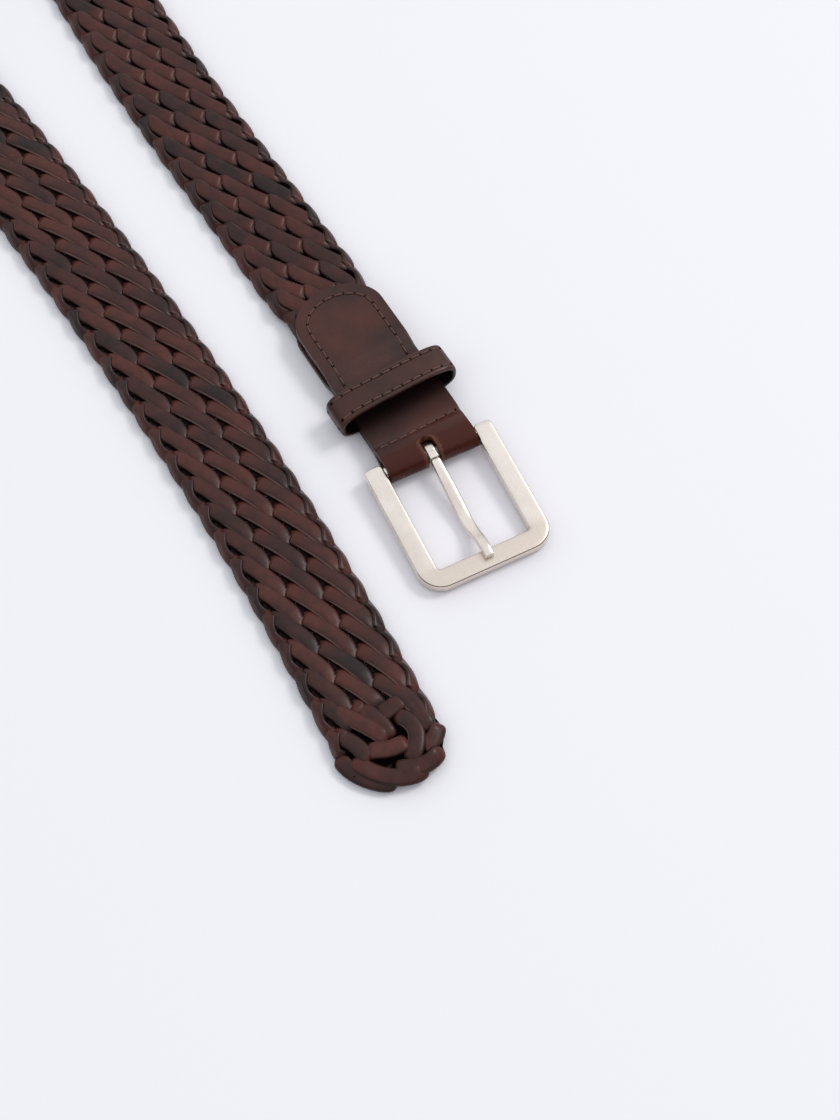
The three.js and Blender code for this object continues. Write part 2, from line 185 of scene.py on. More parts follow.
turn_round = ((STRIPS / 2 * LINE_STEP) ** 2 - TURN_REACH ** 2) / (2 * TURN_REACH)


def squared(value, power):
    """A number from -1 to 1 to a power, with its sign kept: small powers square a circle."""
    return np.sign(value) * np.abs(value) ** power


def pillow(count, power_across, power_up):
    """A closed outline from -1 to 1 each way, as powers of cosine and sine: flat on the wide
    sides and rounded at the edges."""
    angle = (np.arange(count) + 0.5) / count * 2 * math.pi
    return squared(np.cos(angle), power_across), squared(np.sin(angle), power_up)


def bell(value, spread):
    """One at nought, and down to nought on both sides."""
    return np.exp(-(value / spread) ** 2)


def unit(vectors):
    """The same directions, one long."""
    return vectors / np.linalg.norm(vectors, axis=-1, keepdims=True)


def sweep_strip(path, face_up, width, thickness):
    """Carries the strip's pillow along a path in the strap's coordinates. At each point the
    strip lies across the path, square to the direction that its face looks."""
    way = unit(np.gradient(path, axis=0))
    face = unit(face_up - (face_up * way).sum(1, keepdims=True) * way)
    side = np.cross(face, way)
    across, height = pillow(*STRIP_SECTION)
    half_width = np.broadcast_to(width, len(path))[:, None, None] / 2
    half_height = np.broadcast_to(thickness, len(path))[:, None, None] / 2
    points = (path[:, None, :] + across[None, :, None] * half_width * side[:, None, :]
              + height[None, :, None] * half_height * face[:, None, :])
    return points, across, height


def strip_path(strip):
    """One strip's middle line, the direction that its face looks, how it fares there, and
    which face it is on, in the strap's coordinates. Seen from below, the way back is the way
    over turned round, so one formula gives both. Lines from the nearest edge give the way
    across: a hyperbola that goes straight over and turns back round at the edge. Between two
    dives the strip leans towards the strap's length and bows; where it dives it falls back,
    by a sine of the way past the dive, so that its floats lie side by side."""
    first = math.floor((STRIPS_FROM - LAST_ROW_AT) / ROW_STEP)
    rows = np.arange(first * STEPS_PER_ROW, STRIPS_TO * STEPS_PER_ROW + 1) / STEPS_PER_ROW
    line = np.mod(rows + 2 * strip + 1, STRIPS)
    from_edge = np.minimum(line, STRIPS - line)
    crowded = CROWDING * np.sin(2 * math.pi * (line - 1) / FLOAT_LINES)
    rows = rows - crowded * smooth(*CROWDS_FROM, from_edge)

    turn = np.mod(rows + 2 * strip + 1, CIRCUIT)
    over = np.where(turn < STRIPS, 1.0, -1.0)
    line = np.mod(turn, STRIPS)
    from_edge = np.minimum(line, STRIPS - line)
    side = np.where(line > STRIPS / 2, 1.0, -1.0)
    left = side * (TURN_REACH + turn_round - np.hypot(LINE_STEP * from_edge, turn_round))
    part = np.mod(line - 1, FLOAT_LINES) / FLOAT_LINES
    past = part - (part > 0.5)  # share of the way past the nearest dive
    inward = smooth(*INWARD_FROM, from_edge)
    straight = 2 * past - np.sign(past)
    jog = (2 * JOG_HALF - 1) * np.sin(math.pi / 2 * np.clip(past / JOG_HALF, -1, 1))
    saw = np.where(np.abs(past) > JOG_HALF, straight, jog)
    bow = 1 - (1 - 2 * np.hypot(past, BOW_ROUND)) ** 2
    left += inward * (FLOAT_BOW * (bow - 0.5) - JOG_ACROSS * saw)
    lag = JOG_BACK * saw * inward

    to_dive = FLOAT_LINES * np.abs(past)
    inner = smooth(*INNER_FROM, from_edge)
    near_edge = np.where(side < 0, TURN_START_HEIGHT, TURN_HEIGHT)
    dive = blend(near_edge, DIVE_HEIGHT, inner)
    risen = smooth(0.0, blend(*RISE_LINES, inner), to_dive)
    height = blend(dive, FLOAT_HEIGHT + FLOAT_ARCH * np.sin(math.pi * part), risen)
    height = np.where(from_edge < 1, near_edge * np.sin(math.pi / 2 * from_edge), height)
    spread = np.maximum(smooth(0.0, np.where(past > 0, *WIDEN_LINES), to_dive), 1 - inner)
    fares = {
        "spread": spread,
        "surfaced": np.maximum(smooth(*SURFACED, to_dive), 1 - inner),
        "turning": 1 - smooth(*TURNS_WITHIN, from_edge),
        # painted shade where it lies under its neighbours, fading as it comes out
        "buried": inner * (1 - smooth(*UNDER_SHADE_FADES, to_dive)),
        "risen": np.where(past > 0, 1 - smooth(*NEWLY_RISEN, to_dive), 0) * inner,
        "ending": np.where(past < 0, smooth(*ENDING, to_dive), 0.0) * inner,
    }

    along = LAST_ROW_AT + rows * ROW_STEP + lag
    banked = np.radians(EDGE_BANK) * bell(from_edge, BANK_LINES)
    roll = FLOAT_ROLL * risen * inward
    facing = side * over * np.sin(banked) + roll
    face = np.stack([np.zeros_like(rows), facing, np.cos(banked)], axis=-1)
    return along, left * over, height * over, face, fares, over


def tube_faces(sections, count):
    """Quads between neighbouring closed sections of count points each, wound outwards."""
    row, corner = np.meshgrid(np.arange(sections - 1), np.arange(count), indexing="ij")
    near = row * count + corner
    turned = row * count + (corner + 1) % count
    return np.stack([near, turned, turned + count, near + count], axis=-1).reshape(-1, 4)


def end_caps(sections, count):
    """Quads that close both ends of a tube whose sections have an even count of points:
    each joins two neighbours to the two that lie opposite."""
    corner = np.arange(count // 2 - 1)
    opposite = count - 1 - corner
    near = np.stack([corner, opposite, opposite - 1, corner + 1], axis=-1)
    return np.concatenate([near, near[:, ::-1] + (sections - 1) * count])


def closed_tube(grid, shades=None):
    """A tube with both ends closed, from a grid of sections by points: its points, its faces
    and its shades."""
    sections, count = grid.shape[:2]
    faces = np.concatenate([tube_faces(sections, count), end_caps(sections, count)])
    return grid.reshape(-1, 3), faces, {key: np.ravel(each) for key, each in (shades or {}).items()}


def joined(parts):
    """Several meshes as one; each is its points, its faces and its shades."""
    points, faces, shades = zip(*parts)
    first = np.cumsum([0] + [len(each) for each in points])
    faces = np.concatenate([each + start for each, start in zip(faces, first)])
    shades = {key: np.concatenate([each[key] for each in shades]) for key in shades[0]}
    return np.concatenate(points), faces, shades


def mesh_piece(name, points, faces, shades):
    """A smooth-shaded mesh object at the origin from points in millimetres and quads;
    shades are the numbers per point that its material reads."""
    mesh = bpy.data.meshes.new(name)
    points = np.asarray(points, float).reshape(-1, 3) * METRES
    mesh.from_pydata(points.tolist(), [], np.asarray(faces).tolist())
    for key, values in shades.items():
        attribute = mesh.attributes.new(key, "FLOAT", "POINT")
        attribute.data.foreach_set("value", np.asarray(values, np.float32).ravel())
    mesh.polygons.foreach_set("use_smooth", np.ones(len(mesh.polygons), bool))
    mesh.validate()
    piece = bpy.data.objects.new(name, mesh)
    bpy.context.scene.collection.objects.link(piece)
    return piece


def width_share(along):
    """Half the strap's width at a distance, as a share: full, and a half round at the tip."""
    past = np.clip((along - (BELT_LENGTH - TIP_RADIUS)) / TIP_RADIUS, 0, 0.995)
    return np.sqrt(1 - past ** 2)


TIP_CENTRE = 1002.6  # distance along of the rounded end's centre
SUNK_FROM = 990.0  # where the tip's own strips cover the middle of the plait
SUNK_LATER = 12.0  # how much further the plait shows at its edges
SUNK_OVER = 6.0  # length over which it sinks to the strap's middle
SUNK_WIDTH = 0.92  # shares of its own that it keeps there
SUNK_THICKNESS = 0.45
LIT_EDGE = (12.4, 15.4)  # distances from the middle over which the painted shade in the gaps fades
OUTERMOST = (9.5, 12.5)  # and over which the painted highlights on the cut edges fade

strand_random = np.random.default_rng(7)


def shaded(points, across, raised, fares):
    """One strip's tube with the numbers that its leather reads: place across and up its own
    section, how near the surface it is and how near the strap's edge, which set its painted
    shade and painted highlights, how far it lies under others, for more painted shade, how
    newly risen, and a tone of its own."""
    shape = points.shape[:2]
    past_centre = np.maximum(points[..., 0] - TIP_CENTRE, 0)
    from_middle = np.hypot(points[..., 1], past_centre)
    near_surface = np.abs(points[..., 2]) / (BRAID_THICKNESS / 2)
    shades = {
        "across": np.broadcast_to(across, shape),
        "raised": np.broadcast_to(raised, shape),
        "depth": np.maximum(near_surface, 1.2 * smooth(*LIT_EDGE, from_middle) - 0.2),
        "outermost": smooth(*OUTERMOST, from_middle),
        "buried": np.broadcast_to(fares["buried"][:, None], shape),
        "risen": np.broadcast_to(fares["risen"][:, None], shape),
        "tone": np.full(shape, strand_random.uniform(0, 1)),
    }
    return closed_tube(place(points[..., 0], points[..., 1], points[..., 2]), shades)


def plait_strip(strip):
    """One strip of the plait, squeezed where the tab holds it and flattened at the tip."""
    along, left, height, face, fares, height_side = strip_path(strip)
    lean = blend(*LEANS, smooth(*LEAN_CHANGES, along / BELT_LENGTH))
    held = 1 - smooth(HELD_TO, HELD_FROM, along)
    calm = 1 - smooth(BELT_LENGTH - TIP_RADIUS, BELT_LENGTH, along)
    sunk = smooth(0, SUNK_OVER, along - SUNK_FROM - SUNK_LATER * (left / TURN_REACH) ** 2)
    height = height * (1 - sunk) * blend(1, HELD_THICKNESS, held)
    wide = blend(PINCHED_WIDTH, STRIP_WIDTH, fares["spread"])
    wide = blend(DIVING_WIDTH, wide, fares["surfaced"]) * blend(1, TURN_WIDTH, fares["turning"])
    drawn = (STRIP_WIDTH - wide) / 2 * fares["ending"] * height_side
    left = (left - drawn * PINCH_ASIDE) * width_share(along) * blend(1, HELD_WIDTH, held)
    along = along + np.abs(drawn) * PINCH_ON + lean * calm * left / BRAID_WIDTH
    # the plait sunk under the tip's own strips gets painted shade too
    fares["buried"] = np.maximum(fares["buried"], sunk)
    face = blend(face, [0, 0, 1], sunk[:, None])
    path = np.stack([along, left * blend(1, SUNK_WIDTH, sunk), height], axis=-1)
    thickness = STRIP_THICKNESS * blend(PINCHED_THICKNESS, 1, fares["spread"])
    thickness = thickness * blend(1, SUNK_THICKNESS, sunk) * blend(1, TURN_THICKNESS, fares["turning"])
    return shaded(*sweep_strip(path, face, wide, thickness), fares)


# Strips that are tucked in at the tip, as the height of their middle, and places that they
# pass: distances along and to the left. Both ends of each dive under their neighbours.
TIP_STEPS = 34
TIP_LOW = -0.3  # height of the tucked ends
TIP_TUCK = 0.24  # share of a strip over which it rises from there
TIP_TAPER = 0.16  # and over which it widens
TIP_TAPERED = 0.3  # share of its thickness that its ends keep
TIP_INNER = 1.0  # those above this height lie well inside the outline, also on the lower face
TIP_BANK = 0.7  # slope by which a strip tips outwards at the outline
TIP_BANKS_FROM = (12, 18)  # distances from the rounded end's centre over which it begins to
TIP_END_SHADE_FADES = (0.02, 0.1)  # shares of a strip over which the painted shade on its tucked end fades
TIP_RISEN = (0.1, 0.3)  # and over which its redder leather fades
TIP_STRIPS = [
    (1.20, [(988.5, 7.8), (991.3, 9.2), (995.4, 11.0), (1000.2, 12.2), (1005.1, 12.2), (1007.8, 11.6)]),
    (1.25, [(998.5, 3.3), (999.5, 6.1), (1002.3, 8.1), (1005.8, 8.5), (1009.5, 6.8), (1012.3, 4.3),
            (1014.0, 2.6)]),
    (0.90, [(1012.6, 13.4), (1015.3, 10.4), (1016.2, 6.1), (1015.3, 1.9), (1014.4, -0.8), (1014.0, -2.2)]),
    (0.70, [(1005.9, 15.4), (1008.2, 14.3), (1010.0, 12.3), (1010.8, 9.9), (1010.9, 8.1)]),
    (0.55, [(1003.8, -12.6), (1007.6, -11.2), (1012.2, -8.0), (1015.6, -4.0), (1017.4, 0.4),
            (1017.6, 4.0), (1016.0, 7.2)]),
    (1.50, [(1007.5, 5.4), (1007.8, 2.6), (1007.5, -1.5), (1006.1, -5.3), (1005.4, -7.4)]),
    (1.35, [(995.1, 9.5), (995.6, 7.4), (996.3, 3.7), (996.8, 0.9)]),
    (1.05, [(991.3, -3.6), (994.0, -1.9), (997.5, -0.1), (1001.6, 0.6), (1005.1, 0.6)]),
    (1.20, [(987.1, -12.6), (989.9, -10.1), (994.7, -6.3), (999.2, -3.2), (1002.6, -1.2), (1005.1, 0.2)]),
    (0.90, [(996.8, -13.2), (999.2, -11.2), (1002.3, -9.4), (1005.8, -8.1), (1007.5, -7.0)]),
    (-0.6, [(1001.5, -15.4), (1005.4, -15.0), (1009.8, -13.0), (1013.6, -9.8), (1016.2, -6.2),
            (1017.0, -2.6)]),
]


def curve_through(knots, count):
    """Points on a smooth curve through a few knots: cubic pieces whose slope at each knot
    is that between its two neighbours."""
    knots = np.asarray(knots, float)
    ends = np.concatenate([2 * knots[:1] - knots[1:2], knots, 2 * knots[-1:] - knots[-2:-1]])
    at = np.linspace(0, len(knots) - 1, count)
    piece = np.minimum(at.astype(int), len(knots) - 2)
    t = (at - piece)[:, None]
    a, b, c, d = (ends[piece + shift] for shift in range(4))
    bend = (2 * a - 5 * b + 4 * c - d) * t ** 2 + (3 * b - a - 3 * c + d) * t ** 3
    return 0.5 * (2 * b + (c - a) * t + bend)


def tip_strip(top, knots, face_side):
    """A strip tucked in at the tip, on the upper face or, turned half round, on the lower.
    It is at its height between its ends, and tips outwards near the tip's outline."""
    flat = curve_through(knots, TIP_STEPS)
    share = np.linspace(0, 1, TIP_STEPS)
    from_end = np.minimum(share, 1 - share)
    height = blend(TIP_LOW, top, smooth(0.0, TIP_TUCK, from_end))
    outward = flat - np.array([TIP_CENTRE, 0.0])
    far = np.linalg.norm(outward, axis=1, keepdims=True)
    outward = outward / np.maximum(far, 0.1) * smooth(*TIP_BANKS_FROM, far) * (outward[:, :1] > -4)
    outward = outward * TIP_BANK * [1, face_side]
    face = np.concatenate([outward, np.full((TIP_STEPS, 1), face_side)], axis=1)
    path = np.stack([flat[:, 0], flat[:, 1] * face_side, height * face_side], axis=-1)
    spread = np.sin(math.pi / 2 * np.clip(from_end / TIP_TAPER, 0.08, 1))
    # painted shade on the tucked ends
    fares = {"buried": 1 - smooth(*TIP_END_SHADE_FADES, from_end), "risen": 1 - smooth(*TIP_RISEN, share)}
    thickness = STRIP_THICKNESS * blend(TIP_TAPERED, 1, spread)
    return shaded(*sweep_strip(path, face, STRIP_WIDTH * spread, thickness), fares)


class Socket:
    """A node's output that Python's operators work on: each adds a Math node."""

    def __init__(self, shader, output):
        self.shader = shader
        self.output = output

    def math(self, operation, first, second):
        return self.shader.node("ShaderNodeMath", {"operation": operation}, {0: first, 1: second})

    def __add__(self, other):
        return self.math("ADD", self, other)

    def __sub__(self, other):
        return self.math("SUBTRACT", self, other)

    def __rsub__(self, other):
        return self.math("SUBTRACT", other, self)

    def __mul__(self, other):
        return self.math("MULTIPLY", self, other)

    __radd__ = __add__
    __rmul__ = __mul__


class Shader:
    """A material and its nodes."""

    def __init__(self, name):
        self.material = bpy.data.materials.new(name)
        self.take(self.material)

    def take(self, owner):
        """Starts with an empty tree of nodes."""
        owner.use_nodes = True
        self.tree = owner.node_tree
        self.tree.nodes.clear()

    def node(self, kind, settings=None, sockets=None, output=0):
        """Adds a node: its settings first, then its sockets' values or links."""
        made = self.tree.nodes.new(kind)
        for key, value in (settings or {}).items():
            setattr(made, key, value)
        for key, value in (sockets or {}).items():
            if isinstance(value, Socket):
                self.tree.links.new(value.output, made.inputs[key])
            else:
                made.inputs[key].default_value = value
        return Socket(self, made.outputs[output]) if len(made.outputs) else None

    def number(self, name):
        """A number per point that the mesh carries."""
        return self.node("ShaderNodeAttribute", {"attribute_name": name}, output="Fac")

    def place(self):
        return self.node("ShaderNodeTexCoord", output="Object")

    def noise(self, vector, scale, detail, roughness):
        return self.node("ShaderNodeTexNoise", None, {
            "Vector": vector, "Scale": scale, "Detail": detail, "Roughness": roughness})

    def between(self, value, low, high, to_low=0.0, to_high=1.0):
        """Value from low to high becomes to_low to to_high, held at both ends."""
        return self.node("ShaderNodeMapRange", None, {
            "Value": value, "From Min": low, "From Max": high, "To Min": to_low, "To Max": to_high})

    def mix(self, share, a, b):
        """Share 0 gives colour a, share 1 gives colour b."""
        return self.node("ShaderNodeMix", {"data_type": "RGBA"}, {0: share, 6: a, 7: b}, output=2)

    def bump(self, height, distance, strength, below=None):
        """Relief from a height, over the relief below it."""
        sockets = {"Height": height, "Distance": distance, "Strength": strength}
        if below is not None:
            sockets["Normal"] = below
        return self.node("ShaderNodeBump", None, sockets)

    def finish(self, sockets, shade_and_matte_share=None, shade_and_matte_colour=None):
        """The surface shader with these sockets, and the material's output. The share after them
        is painted shade, and on smooth leather also polish: by it the surface gives way to one
        of another colour that doesn't shine, as in a gap that no light reaches."""
        surface = self.node("ShaderNodeBsdfPrincipled", None, sockets)
        if shade_and_matte_share is not None:
            painted_shade = self.node("ShaderNodeBsdfPrincipled", None, {
                "Base Color": shade_and_matte_colour, "Roughness": 1.0, "Specular IOR Level": 0.0})
            surface = self.node("ShaderNodeMixShader", None, {0: shade_and_matte_share, 1: surface, 2: painted_shade})
        self.node("ShaderNodeOutputMaterial", None, {"Surface": surface})
        return self.material


def rgb(red, green, blue):
    """A screen colour, 0 to 255, as the linear colour that nodes take."""
    screen = np.array([red, green, blue]) / 255
    linear = np.where(screen <= 0.04045, screen / 12.92, ((screen + 0.055) / 1.055) ** 2.4)
    return (*linear.tolist(), 1.0)


def strip_leather():
    """Dark brown strips: redder where they rise from under their neighbours, with fine grain
    and a soft polish. Their cut edges are dyed dark, and painted shade darkens their sides
    below the crown further; painted shade also makes them almost black deep down and under
    their neighbours, and a painted highlight runs along one lower cut edge."""
    shader = Shader("strip_leather")
    at = shader.place()
    raised = shader.number("raised")
    buried = shader.number("buried")
    risen = shader.number("risen")
    cloudy = shader.noise(at, 90.0, 4.0, 0.6)
    mottled = shader.noise(at, 420.0, 3.0, 0.6)
    grain = shader.noise(at, 2600.0, 2.0, 0.7)
    warm = shader.between(cloudy + shader.number("tone") * 0.35, 0.42, 0.92)
    colour = shader.mix(warm, rgb(28, 11, 10), rgb(80, 36, 28))
    colour = shader.mix(shader.between(mottled, 0.42, 0.75, 0.0, 0.45), colour, rgb(34, 15, 13))
    colour = shader.mix(risen * 0.65, colour, rgb(78, 31, 20))
    # Painted shade: the sides and cut edges darker than the crown, on top of their dyed dark colour.
    painted_cut_and_side_shade = shader.between(raised, 0.3, 0.95, 1.0, 0.0)
    colour = shader.mix(painted_cut_and_side_shade * 0.85, colour, rgb(26, 11, 9))
    # Painted shade: dark deep down in the plait, fading near the strap's edges.
    dark = shader.between(shader.number("depth"), -0.1, 0.6, 1.0, 0.0) * 0.85
    colour = shader.mix(dark, colour, rgb(20, 8, 6))
    # Painted highlight: a light line along one lower cut edge of each float.
    painted_edge_highlight = shader.between(shader.number("across"), -0.86, -0.98) * shader.between(raised, 0.0, 0.35)
    painted_edge_highlight = painted_edge_highlight * (1 - risen) * (1 - shader.number("outermost"))
    colour = shader.mix(painted_edge_highlight * (1 - buried) * 0.7, colour, rgb(150, 118, 110))
    # Painted shade: almost black where a strip lies under others.
    colour = shader.mix(buried * 0.96, colour, rgb(9, 4, 4))
    relief = shader.bump(grain, 0.00004, 0.5)
    relief = shader.bump(mottled, 0.00012, 0.4, relief)
    # Painted shade: the deep and buried parts give way to a near-black matte surface.
    return shader.finish({
        "Base Color": colour, "Roughness": 0.36 + cloudy * 0.12 + buried * 0.3 - painted_edge_highlight * 0.12,
        "Normal": relief, "Specular IOR Level": 0.26, "Coat Weight": 0.12 - buried * 0.12,
        "Coat Roughness": 0.22,
    }, shader.between(dark + buried, 0.1, 0.9), rgb(10, 5, 5))


strip_material = strip_leather()
plait_strips = [plait_strip(strip) for strip in range(STRIPS)]
tip_strips = [tip_strip(top, knots, 1) for top, knots in TIP_STRIPS]
tip_strips += [tip_strip(top, knots, -1) for top, knots in TIP_STRIPS if top > TIP_INNER]
pieces = {"plait_strips_" + letter: plait_strips[first::4] for first, letter in enumerate("abcd")}
pieces["tip_strips"] = tip_strips
for name, strips in pieces.items():
    plait = mesh_piece(name, *joined(strips))
    plait.data.materials.append(strip_material)
    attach(plait, "strap")
    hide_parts("braid")


# The buckle tab: one strip of smooth leather folded round the buckle's bar, its two
# leaves closed over the end of the plait and sewn through. A slot cut across the fold
# lets the prong out, and a row of stitches behind the bar pinches the fold.

TAB_WIDTH = 31.6
TAB_LEATHER = 1.8
TAB_ROUNDING = 12.5  # length of the rounded end
TAB_STRAIGHT_TO = TAB_LENGTH - TAB_ROUNDING
FOLD_LENGTH = 9.4  # from the bar to where the leaves lie together
FOLD_RADIUS = 3.0  # of the leather's middle round the bar
OPEN_HALF = 2.0  # half the room between the leaves where they hold the plait
SLOT_HALF = 2.3
SLOT_BACK = 4.6  # its round end, behind the bar's axis
SLOT_ROUND = 2.6  # power of that end's outline; 2 would be a circle's
LIP_HEIGHT = 0.22  # by which the leather rises round the slot
LIP_FROM_SLOT = 0.35
LIP_SPREAD = 0.5
CROSS_ROW_AT = 8.9  # the row of stitches across, behind the bar
CROSS_ROW_SLANT = 0.05
CROSS_PINCH = 0.4  # by which it pulls the leaf down
CROSS_PINCH_SPREAD = 0.9
TAB_COLUMNS = 22  # from the middle to each edge
ROUNDED_ROWS = 18  # rows of the rounded end, a leaf, its slope to the fold, and the fold
LEAF_ROWS = 60
SLOPE_ROWS = 34
FOLD_ROWS = 14


def cross_pinch(along):
    """The dent along the cross row."""
    return CROSS_PINCH * bell(along - CROSS_ROW_AT, CROSS_PINCH_SPREAD)


def leaf_middle(along):
    """Height of the upper leaf's middle: half the leather, more where it covers the plait,
    and less at the dent."""
    opened = smooth(PLAIT_END - OPEN_LENGTH, PLAIT_END, along)
    return TAB_LEATHER / 2 + OPEN_HALF * opened - cross_pinch(along)


def tab_line():
    """The leather's middle seen from the side, from the end of the upper leaf, round the
    bar and back to the end of the lower one, as distances along and heights."""
    turned = np.radians(np.linspace(87, 0, ROUNDED_ROWS, endpoint=False))
    straight = np.linspace(TAB_STRAIGHT_TO, FOLD_LENGTH, LEAF_ROWS, endpoint=False)
    leaf = np.concatenate([TAB_STRAIGHT_TO + TAB_ROUNDING * np.sin(turned), straight])
    touch = math.acos((FOLD_RADIUS - TAB_LEATHER / 2) / FOLD_LENGTH)
    slope = np.linspace(0, 1, SLOPE_ROWS, endpoint=False)
    slope_along = blend(FOLD_LENGTH, FOLD_RADIUS * math.cos(touch), slope)
    eased = 0.35 * smooth(0, 1, slope) + 0.65 * slope
    slope_up = blend(TAB_LEATHER / 2, FOLD_RADIUS * math.sin(touch), eased) - cross_pinch(slope_along)
    angle = np.linspace(touch, math.pi, FOLD_ROWS)
    along = np.concatenate([leaf, slope_along, FOLD_RADIUS * np.cos(angle)])
    up = np.concatenate([leaf_middle(leaf), slope_up, FOLD_RADIUS * np.sin(angle)])
    return np.concatenate([along, along[-2::-1]]), np.concatenate([up, -up[-2::-1]])


def half_tab_width(along):
    """Half the tab's width: full, and an ellipse's at its rounded end."""
    past = np.clip((along - TAB_STRAIGHT_TO) / TAB_ROUNDING, 0, 1)
    return TAB_WIDTH / 2 * np.sqrt(1 - past ** 2)


def slot_width(along):
    """Half the slot's width: full at the fold, and rounded at its closed end."""
    past = np.clip((along - SLOT_BACK + SLOT_HALF) / SLOT_HALF, 0, 1)
    return SLOT_HALF * (1 - past ** SLOT_ROUND) ** (1 / SLOT_ROUND)


def half_tab_sheet(side):
    """The leather's middle as a grid from the slot or the middle line out to one edge, with
    a lip round the slot. The two halves share the points where there is no slot."""
    along, up = (values[:, None] for values in tab_line())
    columns = (np.arange(TAB_COLUMNS + 1) / TAB_COLUMNS)[None, :]
    inner = slot_width(along)
    left = side * blend(inner, half_tab_width(along), columns)
    lip = bell(np.abs(left) - inner - LIP_FROM_SLOT, LIP_SPREAD) * (inner > 0)
    upper = np.where(up >= 0, 1, -1)
    points = place(along, left, up + LIP_HEIGHT * lip * upper)
    row, column = np.meshgrid(np.arange(len(along) - 1), np.arange(TAB_COLUMNS), indexing="ij")
    near = row * (TAB_COLUMNS + 1) + column
    quads = np.stack([near, near + 1, near + TAB_COLUMNS + 2, near + TAB_COLUMNS + 1], axis=-1)
    quads = quads.reshape(-1, 4)[:, ::side]
    shades = {"from_bar": np.broadcast_to(along, left.shape).ravel(), "lip": lip.ravel()}
    return points.reshape(-1, 3), quads, shades


def welded(piece):
    """Merges the points that lie on each other, and turns every face outwards."""
    shape = bmesh.new()
    shape.from_mesh(piece.data)
    bmesh.ops.remove_doubles(shape, verts=shape.verts, dist=0.01 * METRES)
    bmesh.ops.recalc_face_normals(shape, faces=shape.faces)
    shape.to_mesh(piece.data)
    shape.free()


def smooth_leather(name, warm, shades):
    """Glossy dark leather with a faint crease pattern, cloudy dye and fine pores. Shades
    gives its shares of painted shade, of polish and of a painted highlight."""
    shader = Shader(name)
    at = shader.place()
    painted_shade, polish, painted_lip_highlight = shades(shader)
    cloudy = shader.noise(at, 55.0, 4.0, 0.55)
    pores = shader.noise(at, 1900.0, 2.0, 0.7)
    creases = shader.node("ShaderNodeTexVoronoi", {"feature": "DISTANCE_TO_EDGE"}, {
        "Vector": at, "Scale": 700.0}, output="Distance")
    colour = shader.mix(shader.between(cloudy, 0.36, 0.68), rgb(44, 21, 16), rgb(*warm))
    colour = shader.mix(shader.between(pores, 0.5, 0.8, 0.0, 0.35), colour, rgb(30, 15, 13))
    # Painted shade: dark where the shades say.
    colour = shader.mix(painted_shade, colour, rgb(16, 8, 8))
    colour = shader.mix(polish * 0.8, colour, rgb(66, 24, 15))
    # Painted highlight: lighter on the lip round the slot.
    colour = shader.mix(painted_lip_highlight * 0.5, colour, rgb(120, 78, 62))
    relief = shader.bump(shader.between(creases, 0.0, 0.12), 0.00005, 0.25)
    relief = shader.bump(pores, 0.00004, 0.35, relief)
    return shader.finish({
        "Base Color": colour, "Roughness": 0.33 + cloudy * 0.14 - polish * 0.14, "Normal": relief,
        "Specular IOR Level": 0.32, "Coat Weight": 0.08 + polish * 0.2, "Coat Roughness": 0.12,
    }, painted_shade * 0.8 + polish * 0.55, colour)


def tab_shades(shader):
    """Painted shadow under the keeper and in front of it; polished on the fold, and a painted
    highlight on the lip round the slot."""
    from_bar = shader.number("from_bar")
    # Painted shadow of the keeper on the tab.
    painted_keeper_shadow = shader.between(from_bar, 9.5, 19.0) * shader.between(from_bar, 33.0, 30.0)
    return painted_keeper_shadow * 0.9, shader.between(from_bar, 6.5, 3.5), shader.number("lip")


tab = mesh_piece("tab", *joined([half_tab_sheet(1), half_tab_sheet(-1)]))
welded(tab)
wall = tab.modifiers.new("leather", "SOLIDIFY")
wall.thickness = TAB_LEATHER * METRES
wall.offset = 0
wall.use_even_offset = True
wall.use_quality_normals = True
edge = tab.modifiers.new("rounded_edges", "BEVEL")
edge.width = 0.4 * METRES
edge.segments = 2
edge.limit_method = "ANGLE"
edge.angle_limit = math.radians(55)
tab.data.materials.append(smooth_leather("tab_leather", (74, 33, 24), tab_shades))
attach(tab, "strap")
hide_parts("strap_tab")


# The thread: waxed brown stitches through both leaves, along the rounded end and the
# sides, and across behind the bar. Each goes down into a punched hole.

STITCH_STEP = 3.7
STITCH_INSET = 3.9  # from the tab's edge
SIDE_ROWS_FROM = 24.0  # distance along, under the keeper
CROSS_STITCHES = 8
CROSS_INSET = 1.6
THREAD = 0.6  # thickness
THREAD_SIDES = 6
THREAD_SHARES = np.linspace(0.04, 0.96, 7)  # of the way from hole to hole
THREAD_TAPER = np.array([0.55, 0.9, 1, 1, 1, 0.9, 0.55])
THREAD_RISE = 0.26  # height of its arch, and how deep it starts
THREAD_SUNK = 0.10
HOLE = 1.05  # across a punched hole
HOLE_STRETCH = 1.15  # how much longer it is along the row
HOLE_SIDES = 10
HOLE_LAYERS = [(1.0, -0.3), (1.0, 0.02), (0.7, 0.06)]  # share of its width, height


def spaced(line, step):
    """Points at equal steps along a line of points."""
    legs = np.linalg.norm(np.diff(line, axis=0), axis=1)
    reached = np.concatenate([[0], np.cumsum(legs)])
    marks = np.linspace(0, reached[-1], round(reached[-1] / step) + 1)
    return np.stack([np.interp(marks, reached, values) for values in line.T], axis=-1)


def ring_round(one, other, count):
    """A circle between two directions, per place of a row: cosine times one plus sine times
    the other."""
    angle = (np.arange(count) / count * 2 * math.pi)[None, :, None]
    return np.cos(angle) * one[:, None, :] + np.sin(angle) * other[:, None, :]


